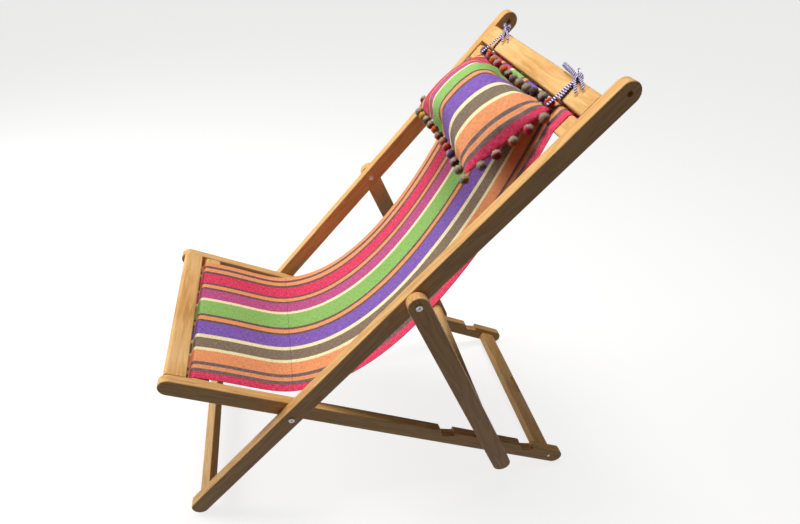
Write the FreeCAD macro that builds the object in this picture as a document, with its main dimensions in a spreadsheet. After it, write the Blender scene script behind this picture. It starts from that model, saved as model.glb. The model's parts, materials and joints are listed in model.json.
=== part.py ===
"""A classic folding wooden deckchair: three pivoting frames, a cloth sling and a tied head pillow.

Millimetres, +Z up. The chair faces -Y and X is its width. The origin is the centre of its footprint on
the floor. Each frame is modelled flat in its own axes: X across, Y along the side rails away from the
frame's pivot, Z out of the frame on the sitter's side. One placement for each frame then opens the chair,
worked out from the notch that the prop's bar sits in and from the two pairs of ends that touch the floor.
"""

import FreeCAD, Part
import math
import os
import re
import Sketcher

Vector = FreeCAD.Vector

DRIVING_SIZES = {
    "Back frame": {
        "back_width": 552,           # over the outer faces of the back rails
        "back_rail_width": 38,
        "back_rail_thick": 25,
        "foot_reach": 350,           # seat pivot to the centre of the rounded foot
        "prop_pivot_reach": 374,     # seat pivot to prop pivot
        "head_reach": 835,           # seat pivot to the bore in the rounded head end
        "head_bore": 9,
        "head_rail_start": 770,      # seat pivot to the head rail's lower edge
        "head_rail_width": 41,
        "head_rail_raise": 9,        # slat's middle plane over the rails' middle plane
        "top_sling_rail_raise": 5,
        "foot_rail_inset": 12,       # rounded foot's centre to the foot rail's lower edge
        "foot_rail_width": 38,
    },
    "Seat frame": {
        "seat_rail_width": 39,
        "seat_rail_thick": 22,
        "seat_front_reach": 252,     # pivot to the centre of the rounded front end
        "seat_rear_reach": 699,
        "front_rail_overhang": 13,   # the front rail's front edge beyond that centre
        "front_rail_width": 43,
        "front_rail_raise": 9.5,
        "front_sling_rail_raise": 7,
        "rear_rail_inset": 10,       # rear end's centre to the rear rail's rear edge
        "rear_rail_width": 41,
        "rear_rail_drop": 2,
        "hand_slot_length": 64,
        "hand_slot_width": 10,
        "hand_slot_edge": 5,         # wood between the slot and the rear edge
        "screw_from_edge": 8,
        "screw_over_middle": 1.5,
        "screw_diameter": 4,
        "screw_head": 7,
        "screw_length": 40,
    },
    "Prop frame": {
        "prop_leg_width": 41,
        "prop_leg_thick": 22,
        "prop_leg_reach": 539,       # prop pivot to the centre of the rounded lower end
        "bar_reach": 503,
        "bar_diameter": 26,
        "bar_tenon": 18,
    },
    "Notches": {
        "notch_middle": 493,         # seat pivot to the bar's centre in the middle notch
        "notch_pitch": 114,
        "bar_height": 20,            # the bar's centre over the seat rail's centre line
        "notch_tilt": 10,            # degrees that the floor rises towards the rear
        "notch_play": 0.4,
    },
    "Slats and joints": {
        "slat_thick": 20,
        "sling_rail_width": 37,
        "front_cloth_gap": 9,        # between the two slats that the cloth passes between
        "top_cloth_gap": 5,
        "arris": 2.5,                # softened edge of every piece of wood
        "round_edge": 8,             # rounded edge where the cloth or a leg rests
        "tenon_thick": 10,
        "tenon_shoulder": 5,
        "tenon_length": 14,
        "tenon_play": 0.1,
    },
    "Pivots": {
        "side_gap": 2,               # between the side rails of two frames
        "washer_thick": 1.6,
        "washer_diameter": 20,
        "sleeve_diameter": 8,
        "sleeve_length": 40,
        "running_play": 0.05,        # on the radius
        "bolt_diameter": 6,
        "bolt_length": 30,
        "bolt_head": 13,
        "bolt_head_height": 2.5,
        "bolt_socket": 4,
        "nut_flange": 12,
        "nut_flange_height": 1.5,
        "face_play": 0.3,            # between a bolt or nut and a frame that turns beside it
    },
    "Soft pieces": {
        "sling_width": 430,
        "cloth_thick": 1.5,
        "cloth_play": 0.3,
        "dowel_diameter": 12,
        "dowel_length": 440,
        "crease_behind": 8,          # the cloth's lowest point, behind and over the seat pivot
        "crease_over": 33,
        "front_slope": 16.5,         # degrees that the cloth falls from the front rail
        "back_slope": 70,            # degrees that the cloth rises to the top rail
        "sling_split": 0.6,
        "pillow_length": 372,
        "pillow_start": 581,         # seat pivot to the pillow's lower seam
        "pillow_width": 170,
        "pillow_lift": 42,           # seam over the back frame's middle plane
        "pillow_front": 58,          # how far each side swells from the seam
        "pillow_rear": 36,
        "pom_diameter": 20,
        "pom_pitch": 31,
        "pom_sink": 2,               # how far a pom-pom is sewn into the seam
        "ribbon_width": 10,
        "ribbon_thick": 1.2,
        "ribbon_from_end": 14,       # ribbon's centre to the pillow's end
    },
}

document = FreeCAD.newDocument("deckchair")
sheet = document.addObject("Spreadsheet::Sheet", "sizes")
ALIASES = set()


def fill_sheet():
    """One row for each driving size, with its alias, under a heading for each section."""
    row = 1
    for section, sizes in DRIVING_SIZES.items():
        sheet.set(f"A{row}", section)
        row += 1
        for alias, value in sizes.items():
            sheet.set(f"A{row}", alias)
            sheet.set(f"B{row}", str(value))
            sheet.setAlias(f"B{row}", alias)
            ALIASES.add(alias)
            row += 1
    document.recompute()


def bound(formula):
    """A formula of aliases as an expression that refers to the sheet."""
    def refer(word):
        return f"sizes.{word[0]}" if word[0] in ALIASES else word[0]
    return re.sub(r"[a-z_]+", refer, formula)


def size(formula):
    """The value of a formula of aliases."""
    return float(sheet.evalExpression(bound(formula)))


# ---------------------------------------------------------------- formulas that several pieces share

SIDES = (("left", -1), ("right", 1))
HALF_INSIDE_BACK = "(back_width / 2 - back_rail_thick)"
HALF_OUTSIDE_SEAT = f"({HALF_INSIDE_BACK} - side_gap)"
HALF_INSIDE_SEAT = f"({HALF_OUTSIDE_SEAT} - seat_rail_thick)"
HALF_INSIDE_PROP = "(back_width / 2 + side_gap)"
HALF_OUTSIDE_PROP = f"({HALF_INSIDE_PROP} + prop_leg_thick)"
PIVOT_BORE = "(sleeve_diameter / 2 + running_play)"


def slat_section(start, width, raised):
    """A slat's (start, end, bottom, top) in its frame's axes."""
    return (start, f"{start} + {width}", f"{raised} - slat_thick / 2", f"{raised} + slat_thick / 2")


TOP_SLING_START = "head_rail_start - top_cloth_gap - sling_rail_width"
FRONT_RAIL_START = "-seat_front_reach - front_rail_overhang"
FRONT_SLING_START = f"{FRONT_RAIL_START} + front_rail_width + front_cloth_gap"
REAR_RAIL_START = "seat_rear_reach - rear_rail_inset - rear_rail_width"

HEAD_RAIL = slat_section("head_rail_start", "head_rail_width", "head_rail_raise")
TOP_SLING_RAIL = slat_section(TOP_SLING_START, "sling_rail_width", "top_sling_rail_raise")
FOOT_RAIL = slat_section("-foot_reach + foot_rail_inset", "foot_rail_width", "0")
FRONT_RAIL = slat_section(FRONT_RAIL_START, "front_rail_width", "front_rail_raise")
FRONT_SLING_RAIL = slat_section(FRONT_SLING_START, "sling_rail_width", "front_sling_rail_raise")
REAR_RAIL = slat_section(REAR_RAIL_START, "rear_rail_width", "-rear_rail_drop")
BACK_SLATS = (HEAD_RAIL, TOP_SLING_RAIL, FOOT_RAIL)
SEAT_SLATS = (FRONT_RAIL, FRONT_SLING_RAIL, REAR_RAIL)
SCREW_PLACE = (f"{REAR_RAIL[1]} - screw_from_edge", "screw_over_middle - rear_rail_drop")

# the cloth lies against the sling rail in its gap, and a dowel in its hem holds it below the slats
CLOTH_MIDDLE = "(cloth_play + cloth_thick / 2)"
HEM_RADIUS = "(dowel_diameter / 2 + cloth_play + cloth_thick)"
TOP_DOWEL = (f"{TOP_SLING_RAIL[1]} + {CLOTH_MIDDLE}", f"{TOP_SLING_RAIL[2]} - cloth_play - {HEM_RADIUS}")
FRONT_DOWEL = (f"{FRONT_SLING_START} - {CLOTH_MIDDLE}", f"{FRONT_SLING_RAIL[2]} - cloth_play - {HEM_RADIUS}")


# ---------------------------------------------------------------- sketches and features


def new_body(label):
    body = document.addObject("PartDesign::Body", label)
    body.Label = label
    return body


def origin_plane(body, role):
    return next(feature for feature in body.Origin.OriginFeatures if feature.Role == role)


def sketch_on(body, role, name, offset="0"):
    """A sketch on one of the body's own origin planes, moved along the plane's normal."""
    sketch = body.newObject("Sketcher::SketchObject", name)
    sketch.AttachmentSupport = [(origin_plane(body, role), "")]
    sketch.MapMode = "FlatFace"
    sketch.setExpression("AttachmentOffset.Base.z", bound(offset))
    return sketch


def bind(sketch, constraint, formula):
    """Adds a dimension and ties it to the sheet."""
    index = sketch.addConstraint(constraint)
    sketch.setExpression(f"Constraints[{index}]", bound(formula))


def draw_polygon(sketch, corners):
    """A closed outline whose corners are pairs of formulas."""
    points = [Vector(size(across), size(up), 0) for across, up in corners]
    first = sketch.GeometryCount
    count = len(points)
    for i in range(count):
        sketch.addGeometry(Part.LineSegment(points[i], points[(i + 1) % count]), False)
    for i in range(count):
        sketch.addConstraint(Sketcher.Constraint("Coincident", first + i, 2, first + (i + 1) % count, 1))
    for i, (across, up) in enumerate(corners):
        bind(sketch, Sketcher.Constraint("DistanceX", -1, 1, first + i, 1, points[i].x), across)
        bind(sketch, Sketcher.Constraint("DistanceY", -1, 1, first + i, 1, points[i].y), up)


def draw_rectangle(sketch, low_across, high_across, low_up, high_up):
    corners = (
        (low_across, low_up),
        (high_across, low_up),
        (high_across, high_up),
        (low_across, high_up),
    )
    draw_polygon(sketch, corners)


def draw_circle(sketch, across, up, radius):
    centre = Vector(size(across), size(up), 0)
    index = sketch.addGeometry(Part.Circle(centre, Vector(0, 0, 1), size(radius)), False)
    bind(sketch, Sketcher.Constraint("Radius", index, size(radius)), radius)
    bind(sketch, Sketcher.Constraint("DistanceX", -1, 1, index, 3, centre.x), across)
    bind(sketch, Sketcher.Constraint("DistanceY", -1, 1, index, 3, centre.y), up)


def draw_stadium(sketch, low, high, up, radius):
    """A strip with fully rounded ends, whose arcs are centred at low and high."""
    a, b, y, r = size(low), size(high), size(up), size(radius)
    first = sketch.GeometryCount
    sketch.addGeometry(Part.LineSegment(Vector(a, y + r, 0), Vector(b, y + r, 0)), False)
    right = Part.Circle(Vector(b, y, 0), Vector(0, 0, 1), r)
    sketch.addGeometry(Part.ArcOfCircle(right, -math.pi / 2, math.pi / 2), False)
    sketch.addGeometry(Part.LineSegment(Vector(b, y - r, 0), Vector(a, y - r, 0)), False)
    left = Part.Circle(Vector(a, y, 0), Vector(0, 0, 1), r)
    sketch.addGeometry(Part.ArcOfCircle(left, math.pi / 2, 3 * math.pi / 2), False)
    for one, end, other, start in ((0, 2, 1, 2), (1, 1, 2, 1), (2, 2, 3, 2), (3, 1, 0, 1)):
        sketch.addConstraint(Sketcher.Constraint("Tangent", first + one, end, first + other, start))
    sketch.addConstraint(Sketcher.Constraint("Horizontal", first))
    bind(sketch, Sketcher.Constraint("Radius", first + 1, r), radius)
    bind(sketch, Sketcher.Constraint("DistanceX", -1, 1, first + 1, 3, b), high)
    bind(sketch, Sketcher.Constraint("DistanceX", -1, 1, first + 3, 3, a), low)
    bind(sketch, Sketcher.Constraint("DistanceY", -1, 1, first + 1, 3, y), up)


def pad(body, sketch, length, symmetric=False):
    feature = body.newObject("PartDesign::Pad", "pad")
    feature.Profile = sketch
    feature.setExpression("Length", bound(length))
    if symmetric:
        feature.SideType = "Symmetric"
    document.recompute()
    return feature


def pocket(body, sketch, depth=None, forward=False):
    """Cuts right through both ways, or to a depth along the sketch's normal or against it."""
    before = body.Shape.Volume
    feature = body.newObject("PartDesign::Pocket", "pocket")
    feature.Profile = sketch
    if depth is None:
        feature.Type = "ThroughAll"
        feature.SideType = "Symmetric"
    else:
        feature.setExpression("Length", bound(depth))
        feature.Reversed = forward
    document.recompute()
    if not body.Shape.Volume < before - 1:
        raise RuntimeError(f"{body.Label}: {sketch.Name} cuts nothing")
    return feature


def fillet(body, radius, chosen):
    """Rounds the edges of the body's last feature for which chosen(edge) holds."""
    base = body.Tip
    edges = [f"Edge{i + 1}" for i, edge in enumerate(base.Shape.Edges) if chosen(edge)]
    feature = body.newObject("PartDesign::Fillet", "fillet")
    feature.Base = (base, edges)
    feature.setExpression("Radius", bound(radius))
    document.recompute()


def in_plane_x(*planes):
    """Chooses edges that lie whole in one of the planes across X."""
    def chosen(edge):
        box = edge.BoundBox
        return any(max(abs(box.XMin - x), abs(box.XMax - x)) < 0.001 for x in planes)
    return chosen


def runs_across(lengthwise_at=None):
    """Chooses straight edges along X, all of them or those at one place along the frame."""
    def chosen(edge):
        box = edge.BoundBox
        along_x = box.YLength < 0.001 and box.ZLength < 0.001
        return along_x and (lengthwise_at is None or abs(box.YMin - lengthwise_at) < 0.001)
    return chosen


# ---------------------------------------------------------------- wooden pieces


def side_rail(label, side, inside, thick, behind, ahead, width):
    """A rail with round ends, standing outside the plane x = inside on its side (1 right, -1 left)."""
    body = new_body(label)
    offset = inside if side > 0 else f"-{inside} - {thick}"
    outline = sketch_on(body, "YZ_Plane", "outline", offset)
    draw_stadium(outline, f"-{behind}", ahead, "0", f"{width} / 2")
    pad(body, outline, thick)
    inner = side * size(inside)
    outer = side * size(f"{inside} + {thick}")
    fillet(body, "arris", in_plane_x(inner, outer))
    return body


def bore(body, places, radius, name):
    """Round holes right through a side rail."""
    holes = sketch_on(body, "YZ_Plane", name)
    for along in places:
        draw_circle(holes, along, "0", radius)
    pocket(body, holes)


def mortises(body, side, inside, slats):
    """Blind mortises in a side rail's inner face for the slats' tenons."""
    sockets = sketch_on(body, "YZ_Plane", "mortises", inside if side > 0 else f"-{inside}")
    for start, end, bottom, top in slats:
        middle = f"(({bottom}) + ({top})) / 2"
        draw_rectangle(
            sockets,
            f"{start} + tenon_shoulder - tenon_play",
            f"{end} - tenon_shoulder + tenon_play",
            f"{middle} - tenon_thick / 2 - tenon_play",
            f"{middle} + tenon_thick / 2 + tenon_play",
        )
    pocket(body, sockets, "tenon_length + tenon_play", forward=side > 0)


def slat(label, inside, section, rounded_at=None):
    """A cross slat between two side rails, with a tenon at each end and one pair of edges well rounded."""
    start, end, bottom, top = section
    body = new_body(label)
    outline = sketch_on(body, "YZ_Plane", "section")
    draw_rectangle(outline, start, end, bottom, top)
    pad(body, outline, f"2 * {inside}", symmetric=True)
    if rounded_at is None:
        fillet(body, "arris", runs_across())
    else:
        sharp = start if rounded_at == end else end
        fillet(body, "round_edge", runs_across(size(rounded_at)))
        fillet(body, "arris", runs_across(size(sharp)))
    tenon = sketch_on(body, "YZ_Plane", "tenon")
    middle = f"(({bottom}) + ({top})) / 2"
    draw_rectangle(
        tenon,
        f"{start} + tenon_shoulder",
        f"{end} - tenon_shoulder",
        f"{middle} - tenon_thick / 2",
        f"{middle} + tenon_thick / 2",
    )
    pad(body, tenon, f"2 * {inside} + 2 * tenon_length", symmetric=True)
    return body


def round_bar(label, along, up, radius, length, tenon_radius=None, tenon_length=None):
    """A round bar across the chair, with smaller round tenons if they are given."""
    body = new_body(label)
    outline = sketch_on(body, "YZ_Plane", "section")
    draw_circle(outline, along, up, radius)
    pad(body, outline, length, symmetric=True)
    if tenon_radius:
        tenon = sketch_on(body, "YZ_Plane", "tenon")
        draw_circle(tenon, along, up, tenon_radius)
        pad(body, tenon, f"{length} + 2 * {tenon_length}", symmetric=True)
    return body


def back_rail(label, side):
    body = side_rail(
        label, side, HALF_INSIDE_BACK, "back_rail_thick", "foot_reach", "head_reach", "back_rail_width"
    )
    bore(body, ["0", "prop_pivot_reach"], PIVOT_BORE, "pivot_bores")
    bore(body, ["head_reach"], "head_bore / 2", "head_bore")
    mortises(body, side, HALF_INSIDE_BACK, BACK_SLATS)
    return body


def notch_corners(number):
    """One notch: a floor that rises rearwards, a wall behind square to it, and a lead-in at 45 degrees."""
    centre = f"notch_middle + {number} * notch_pitch"
    room = "(bar_diameter / 2 + notch_play)"
    cosine, sine = "cos(notch_tilt * 1deg)", "sin(notch_tilt * 1deg)"
    front = (
        f"{centre} - {room} * {cosine} + {room} * {sine}",
        f"bar_height - {room} * {cosine} - {room} * {sine}",
    )
    rear = (
        f"{centre} + {room} * {cosine} + {room} * {sine}",
        f"bar_height - {room} * {cosine} + {room} * {sine}",
    )
    above = "(seat_rail_width / 2 + 5)"
    wall = f"({above} - ({rear[1]})) * tan(notch_tilt * 1deg)"
    return (front, rear, (f"{rear[0]} - {wall}", above), (f"{front[0]} - ({above} - ({front[1]}))", above))


def seat_rail(label, side):
    body = side_rail(
        label,
        side,
        HALF_INSIDE_SEAT,
        "seat_rail_thick",
        "seat_front_reach",
        "seat_rear_reach",
        "seat_rail_width",
    )
    bore(body, ["0"], PIVOT_BORE, "pivot_bore")
    mortises(body, side, HALF_INSIDE_SEAT, SEAT_SLATS)
    notches = sketch_on(body, "YZ_Plane", "notches")
    for number in (-1, 0, 1):
        draw_polygon(notches, notch_corners(number))
    pocket(body, notches)
    screw_holes(body, side)
    return body


def screw_holes(body, side):
    """The rear rail's screw: its shank's hole and the countersink at the outer face."""
    hole = sketch_on(body, "YZ_Plane", "screw_hole")
    draw_circle(hole, *SCREW_PLACE, "screw_diameter / 2 + running_play")
    pocket(body, hole)
    outer = HALF_OUTSIDE_SEAT if side > 0 else f"-{HALF_OUTSIDE_SEAT}"
    seat = sketch_on(body, "YZ_Plane", "screw_seat", outer)
    draw_circle(seat, *SCREW_PLACE, "screw_head / 2 + running_play")
    pocket(body, seat, "screw_diameter / 2", forward=side < 0)


def prop_leg(label, side):
    body = side_rail(label, side, HALF_INSIDE_PROP, "prop_leg_thick", "0", "prop_leg_reach", "prop_leg_width")
    bore(body, ["0"], PIVOT_BORE, "pivot_bore")
    inner = HALF_INSIDE_PROP if side > 0 else f"-{HALF_INSIDE_PROP}"
    socket = sketch_on(body, "YZ_Plane", "bar_socket", inner)
    draw_circle(socket, "bar_reach", "0", "bar_tenon / 2 + running_play")
    pocket(body, socket, "tenon_length + tenon_play", forward=side > 0)
    return body


def rear_rail():
    """The rear slat, with its routed hand slot and its screws' pilot holes."""
    body = slat("rear_rail", HALF_INSIDE_SEAT, REAR_RAIL)
    slot = sketch_on(body, "XY_Plane", "hand_slot")
    half = "(hand_slot_length / 2 - hand_slot_width / 2)"
    middle = f"{REAR_RAIL[1]} - hand_slot_edge - hand_slot_width / 2"
    draw_stadium(slot, f"-{half}", half, middle, "hand_slot_width / 2")
    pocket(body, slot)
    for name, side in SIDES:
        outer = HALF_OUTSIDE_SEAT if side > 0 else f"-{HALF_OUTSIDE_SEAT}"
        pilot = sketch_on(body, "YZ_Plane", f"{name}_pilot", outer)
        draw_circle(pilot, *SCREW_PLACE, "screw_diameter / 2 + running_play")
        pocket(body, pilot, "screw_length + 1", forward=side < 0)
    return body


# ---------------------------------------------------------------- metal pieces, in pairs


def disc(body, name, inner, length, radius, along="0", up="0"):
    """A round pad about an axis across the chair, from the plane x = inner outwards."""
    outline = sketch_on(body, "YZ_Plane", name, inner)
    draw_circle(outline, along, up, radius)
    return pad(body, outline, length)


def on_both_sides(body):
    """Repeats all of the body's features on the chair's other side."""
    features = [feature for feature in body.Group if feature.isDerivedFrom("PartDesign::FeatureAddSub")]
    mirror = body.newObject("PartDesign::Mirrored", "other_side")
    mirror.Originals = features
    mirror.MirrorPlane = (origin_plane(body, "YZ_Plane"), [""])
    body.Tip = mirror
    document.recompute()
    return body


def pivot_bolts(label, head_face):
    """Bolts whose heads lie on the plane x = head_face, with a hexagon socket."""
    body = new_body(label)
    disc(body, "head", head_face, "bolt_head_height", "bolt_head / 2")
    fillet(body, "bolt_head_height / 3", in_plane_x(size(f"{head_face} + bolt_head_height")))
    into_head = "bolt_head_height / 4"
    disc(body, "shank", f"{head_face} - bolt_length", f"bolt_length + {into_head}", "bolt_diameter / 2")
    socket = sketch_on(body, "YZ_Plane", "socket", f"{head_face} + bolt_head_height")
    corners = [
        (f"bolt_socket / sqrt(3) * cos({turn} * 1deg)", f"bolt_socket / sqrt(3) * sin({turn} * 1deg)")
        for turn in range(0, 360, 60)
    ]
    draw_polygon(socket, corners)
    pocket(body, socket, "bolt_head_height * 0.8")
    return on_both_sides(body)


def pivot_nuts(label, flange_face):
    """Sleeve nuts: a flange inside the plane x = flange_face and a sleeve that runs out through the rails."""
    body = new_body(label)
    disc(body, "flange", f"{flange_face} - nut_flange_height", "nut_flange_height", "nut_flange / 2")
    disc(body, "sleeve", f"{flange_face} - nut_flange_height / 2", "sleeve_length", "sleeve_diameter / 2")
    thread = sketch_on(body, "YZ_Plane", "thread", f"{flange_face} + sleeve_length")
    draw_circle(thread, "0", "0", "bolt_diameter / 2 + running_play")
    pocket(body, thread, "sleeve_length")
    return on_both_sides(body)


def pivot_washers(label, rail_face):
    """Washers that stand outwards from the plane x = rail_face."""
    body = new_body(label)
    disc(body, "ring", rail_face, "washer_thick", "washer_diameter / 2")
    hole = sketch_on(body, "YZ_Plane", "hole")
    draw_circle(hole, "0", "0", "sleeve_diameter / 2 + 0.1")
    pocket(body, hole)
    return on_both_sides(body)


def rear_rail_screws():
    """Countersunk screws through the seat rails into the rear rail's ends."""
    body = new_body("rear_rail_screws")
    head_height = "(screw_diameter / 2 - running_play)"
    tip = f"{HALF_OUTSIDE_SEAT} - screw_length"
    disc(body, "head", f"{HALF_OUTSIDE_SEAT} - {head_height}", head_height, "screw_head / 2", *SCREW_PLACE)
    disc(body, "shank", tip, f"screw_length - {head_height} / 2", "screw_diameter / 2", *SCREW_PLACE)
    return on_both_sides(body)


# ---------------------------------------------------------------- the open chair's stance


def stance():
    """The placements of the three frames, and the back frame's angle above the floor in degrees."""
    back_side = size("prop_pivot_reach")
    seat_side = math.hypot(size("notch_middle"), size("bar_height"))
    prop_side = size("bar_reach")
    at_seat_pivot = math.acos((back_side**2 + seat_side**2 - prop_side**2) / (2 * back_side * seat_side))
    at_prop_pivot = math.acos((back_side**2 + prop_side**2 - seat_side**2) / (2 * back_side * prop_side))
    between = at_seat_pivot + math.atan2(size("bar_height"), size("notch_middle"))

    # both rounded ends touch the floor
    foot, rear = size("foot_reach"), size("seat_rear_reach")
    foot_radius, rear_radius = size("back_rail_width") / 2, size("seat_rail_width") / 2
    across = foot + rear * math.cos(between)
    up = rear * math.sin(between)
    rise = math.atan2(up, across) + math.asin((rear_radius - foot_radius) / math.hypot(across, up))
    fall = between - rise

    front_end = min(
        -size("seat_front_reach") * math.cos(fall) - rear_radius,
        -foot * math.cos(rise) - foot_radius,
    )
    rear_end = rear * math.cos(fall) + rear_radius
    seat_pivot = Vector(0, -(front_end + rear_end) / 2, foot * math.sin(rise) + foot_radius)
    prop_pivot = seat_pivot + Vector(0, math.cos(rise), math.sin(rise)) * back_side
    return (
        turned(seat_pivot, rise),
        turned(seat_pivot, -fall),
        turned(prop_pivot, rise + at_prop_pivot - math.pi),
        turned(prop_pivot, rise),
        math.degrees(rise),
    )


def turned(position, angle):
    """A placement that turns about X by an angle in radians."""
    return FreeCAD.Placement(position, FreeCAD.Rotation(Vector(1, 0, 0), math.degrees(angle)))


# ---------------------------------------------------------------- soft pieces

SPAN_STEPS = 8  # stretches between the points that a free curve of the cloth is drawn through
# how far each end's direction holds along a free curve, as a share of its chord
FRONT_PULLS = (0.5, 0.25)
BACK_PULLS = (0.245, 0.46)


def heading(angle):
    """The unit vector in the plane x = 0 at an angle in degrees from +Y towards +Z."""
    return Vector(0, math.cos(math.radians(angle)), math.sin(math.radians(angle)))


# a stretch of the cloth's path is a function that gives its edge for a shift to the path's left


def straight(start, end):
    along = (end - start).normalize()
    left = Vector(0, -along.z, along.y)
    return lambda shift: Part.LineSegment(start + left * shift, end + left * shift).toShape()


def bend(centre, reach, start, end):
    """An arc about a point, between two falling angles in degrees from +Y towards +Z."""
    def edge(shift):
        points = [centre + heading(angle) * (reach + shift) for angle in (start, (start + end) / 2, end)]
        return Part.Arc(*points).toShape()
    return edge


def free_span(start, start_heading, end, end_heading, pulls):
    """The cloth's free curve between two points, with its directions there and how far each one holds."""
    chord = (end - start).Length
    curve = Part.BezierCurve()
    curve.setPoles([
        start,
        start + start_heading * (pulls[0] * chord),
        end - end_heading * (pulls[1] * chord),
        end,
    ])

    def edge(shift):
        points = []
        for i in range(SPAN_STEPS + 1):
            along = curve.tangent(i / SPAN_STEPS)[0]
            points.append(curve.value(i / SPAN_STEPS) + Vector(0, -along.z, along.y) * shift)
        side = Part.BSplineCurve()
        side.interpolate(Points=points, InitialTangent=start_heading, FinalTangent=end_heading)
        return side.toShape()
    return edge


def hem(centre):
    """The cloth around a dowel."""
    width = size("sling_width")
    outer = Part.makeCylinder(size(HEM_RADIUS), width, centre - Vector(width / 2, 0, 0), Vector(1, 0, 0))
    inner_radius = size(HEM_RADIUS) - size("cloth_thick")
    inner = Part.makeCylinder(inner_radius, width, centre - Vector(width / 2, 0, 0), Vector(1, 0, 0))
    return outer.cut(inner)


def cloth(label, placement, path, dowel):
    """A strip of the cloth's thickness along a path of tangent stretches, with its hem."""
    half_thick, width = size("cloth_thick") / 2, size("sling_width")
    left = [stretch(half_thick) for stretch in path]
    right = [stretch(-half_thick) for stretch in path]
    start_cap = Part.LineSegment(*(side[0].valueAt(side[0].FirstParameter) for side in (left, right)))
    end_cap = Part.LineSegment(*(side[-1].valueAt(side[-1].LastParameter) for side in (left, right)))
    edges = left + right + [start_cap.toShape(), end_cap.toShape()]
    section = Part.Face(Part.Wire(Part.__sortEdges__(edges)))
    section.translate(Vector(-width / 2, 0, 0))
    strip = section.extrude(Vector(width, 0, 0))
    feature = document.addObject("Part::Feature", label)
    feature.Label = label
    feature.Shape = strip.fuse(hem(dowel)).Solids[0]
    feature.Placement = placement
    return feature


def crease(placement, side):
    """The cloth's end on one side of the split at its lowest point, and the level direction there."""
    pivot = BACK.Base
    to_frame = placement.inverse()
    point = pivot + Vector(0, size("crease_behind") + side * size("sling_split") / 2, size("crease_over"))
    return to_frame.multVec(point), to_frame.Rotation.multVec(Vector(0, 1, 0))


def sling_seat():
    """The front half: up from its dowel, over the front sling rail's rounded edge and down to the crease."""
    dowel = Vector(0, *(size(formula) for formula in FRONT_DOWEL))
    start, _, _, top = (size(formula) for formula in FRONT_SLING_RAIL)
    edge = size("round_edge")
    reach = edge + size(CLOTH_MIDDLE)
    corner = Vector(0, start + edge, top - edge)
    leaving = SEAT_FALL - size("front_slope")
    run_top = corner - Vector(0, reach, 0)
    run_bottom = Vector(0, run_top.y, dowel.z + size(HEM_RADIUS) - size("cloth_thick") / 2)
    low, level = crease(SEAT, -1)
    path = [
        straight(run_bottom, run_top),
        bend(corner, reach, 180, 90 + leaving),
        free_span(corner + heading(90 + leaving) * reach, heading(leaving), low, level, FRONT_PULLS),
    ]
    return cloth("sling_seat", SEAT, path, dowel)


def sling_back():
    """The rear half: from the crease up to the top sling rail, over it and down to its dowel."""
    dowel = Vector(0, *(size(formula) for formula in TOP_DOWEL))
    start, end, _, top = (size(formula) for formula in TOP_SLING_RAIL)
    arris, edge, lift = size("arris"), size("round_edge"), size(CLOTH_MIDDLE)
    lower = Vector(0, start + arris, top - arris)
    upper = Vector(0, end - edge, top - edge)
    arriving = size("back_slope") - BACK_RISE
    low, level = crease(BACK, 1)
    first_touch = lower + heading(90 + arriving) * (arris + lift)
    run_top = upper + Vector(0, edge + lift, 0)
    run_bottom = Vector(0, run_top.y, dowel.z + size(HEM_RADIUS) - size("cloth_thick") / 2)
    path = [
        free_span(low, level, first_touch, heading(arriving), BACK_PULLS),
        bend(lower, arris + lift, 90 + arriving, 90),
        straight(Vector(0, lower.y, top + lift), Vector(0, upper.y, top + lift)),
        bend(upper, edge + lift, 90, 0),
        straight(run_top, run_bottom),
    ]
    return cloth("sling_back", BACK, path, dowel)


PILLOW_END = "(pillow_start + pillow_width)"


def pillow():
    """A lens between the two long seams, swelling more to the sitter's side than to the cloth's."""
    body = new_body("pillow")
    outline = sketch_on(body, "YZ_Plane", "section")
    low, high, seam = size("pillow_start"), size(PILLOW_END), size("pillow_lift")
    front, rear = size("pillow_front"), size("pillow_rear")
    middle = (low + high) / 2
    for swell in (front, -rear):
        arc = Part.Arc(Vector(low, seam, 0), Vector(middle, seam + swell, 0), Vector(high, seam, 0))
        outline.addGeometry(arc, False)
    outline.addConstraint(Sketcher.Constraint("Coincident", 0, 1, 1, 2))
    outline.addConstraint(Sketcher.Constraint("Coincident", 0, 2, 1, 1))
    bind(outline, Sketcher.Constraint("DistanceX", -1, 1, 0, 2, low), "pillow_start")
    bind(outline, Sketcher.Constraint("DistanceX", -1, 1, 0, 1, high), PILLOW_END)
    bind(outline, Sketcher.Constraint("DistanceY", -1, 1, 0, 1, seam), "pillow_lift")
    bind(outline, Sketcher.Constraint("DistanceY", -1, 1, 0, 2, seam), "pillow_lift")
    half = "(pillow_width / 2)"
    for index, swell in ((0, "pillow_front"), (1, "pillow_rear")):
        radius = f"({half} * {half} + {swell} * {swell}) / (2 * {swell})"
        bind(outline, Sketcher.Constraint("Radius", index, size(radius)), radius)
    pad(body, outline, "pillow_length", symmetric=True)
    return body


def pom_places():
    """Where the pom-poms sit round the pillow's seam: two long rows, then the two short ends."""
    out = size("pom_diameter") / 2 - size("pom_sink")
    half_length = size("pillow_length") / 2
    low, high, seam = size("pillow_start"), size(PILLOW_END), size("pillow_lift")
    row = half_length - size("ribbon_from_end") - size("ribbon_width") / 2 - size("pom_diameter") / 2 - 1
    places = []
    for across in evenly(-row, row):
        places.append(Vector(across, low - out, seam))
        places.append(Vector(across, high + out, seam))
    for along in evenly(low, high):
        places.append(Vector(-half_length - out, along, seam))
        places.append(Vector(half_length + out, along, seam))
    return places


def evenly(low, high):
    """Values from low to high, about one pom-pom's pitch apart."""
    steps = round((high - low) / size("pom_pitch"))
    return [low + (high - low) * i / steps for i in range(steps + 1)]


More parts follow.
